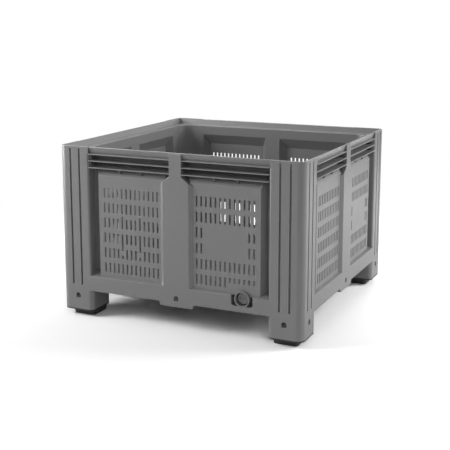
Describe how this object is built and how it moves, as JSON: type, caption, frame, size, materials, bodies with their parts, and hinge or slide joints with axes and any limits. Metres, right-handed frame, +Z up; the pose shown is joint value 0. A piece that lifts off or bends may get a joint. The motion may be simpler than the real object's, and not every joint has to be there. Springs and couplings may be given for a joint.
{
  "type": "fruit bin",
  "caption": "Square ventilated plastic fruit bin on four legs, with slotted wall panels, fork entry on every side, black foot caps and a screw-in drain plug.",
  "frame": {"origin": "middle of the bin's footprint, on the surface that it stands on", "axes": "+Z up, +X to the right of the front, -Y out of the front with the drain"},
  "size_m": [1.13, 1.13, 0.76],
  "materials": {
    "bin_grey": "moulded grey polyethylene, satin",
    "foot_cap_black": "moulded black polyethylene, matt",
    "plug_grey": "moulded grey polyethylene, satin",
    "seal_rubber": "soft black rubber"
  },
  "bodies": {
    "bin": {"deck": "bin_grey", "corner_post_front_left": "bin_grey", "corner_post_front_right": "bin_grey", "corner_post_back_right": "bin_grey", "corner_post_back_left": "bin_grey", "lower_rail_front": "bin_grey", "lower_rail_right": "bin_grey", "lower_rail_back": "bin_grey", "lower_rail_left": "bin_grey", "centre_post_front": "bin_grey", "centre_post_right": "bin_grey", "centre_post_back": "bin_grey", "centre_post_left": "bin_grey", "rim_beam_front": "bin_grey", "rim_beam_right": "bin_grey", "rim_beam_back": "bin_grey", "rim_beam_left": "bin_grey", "panel_front_left": "bin_grey", "panel_front_right": "bin_grey", "panel_right_left": "bin_grey", "panel_right_right": "bin_grey", "panel_back_left": "bin_grey", "panel_back_right": "bin_grey", "panel_left_left": "bin_grey", "panel_left_right": "bin_grey", "foot_cap_front_left": "foot_cap_black", "foot_cap_front_right": "foot_cap_black", "foot_cap_back_right": "foot_cap_black", "foot_cap_back_left": "foot_cap_black", "drain_spigot": "bin_grey"},
    "drain_seal": {"drain_seal": "seal_rubber"},
    "drain_plug": {"drain_plug": "plug_grey"}
  },
  "joints": [
    {"name": "drain_seal_travel", "type": "slide", "parent": "bin", "child": "drain_seal", "axis": [0, -1, 0], "range_m": [0, 0.018]},
    {"name": "drain_plug_turn", "type": "hinge", "parent": "drain_seal", "child": "drain_plug", "pos_m": [0.301, -0.565, 0.177], "axis": [0, -1, 0], "range_deg": [0, 1080]}
  ],
  "couplings": [
    {"joint": "drain_seal_travel", "follows": "drain_plug_turn", "m_per_rad": 0.00095493}
  ]
}
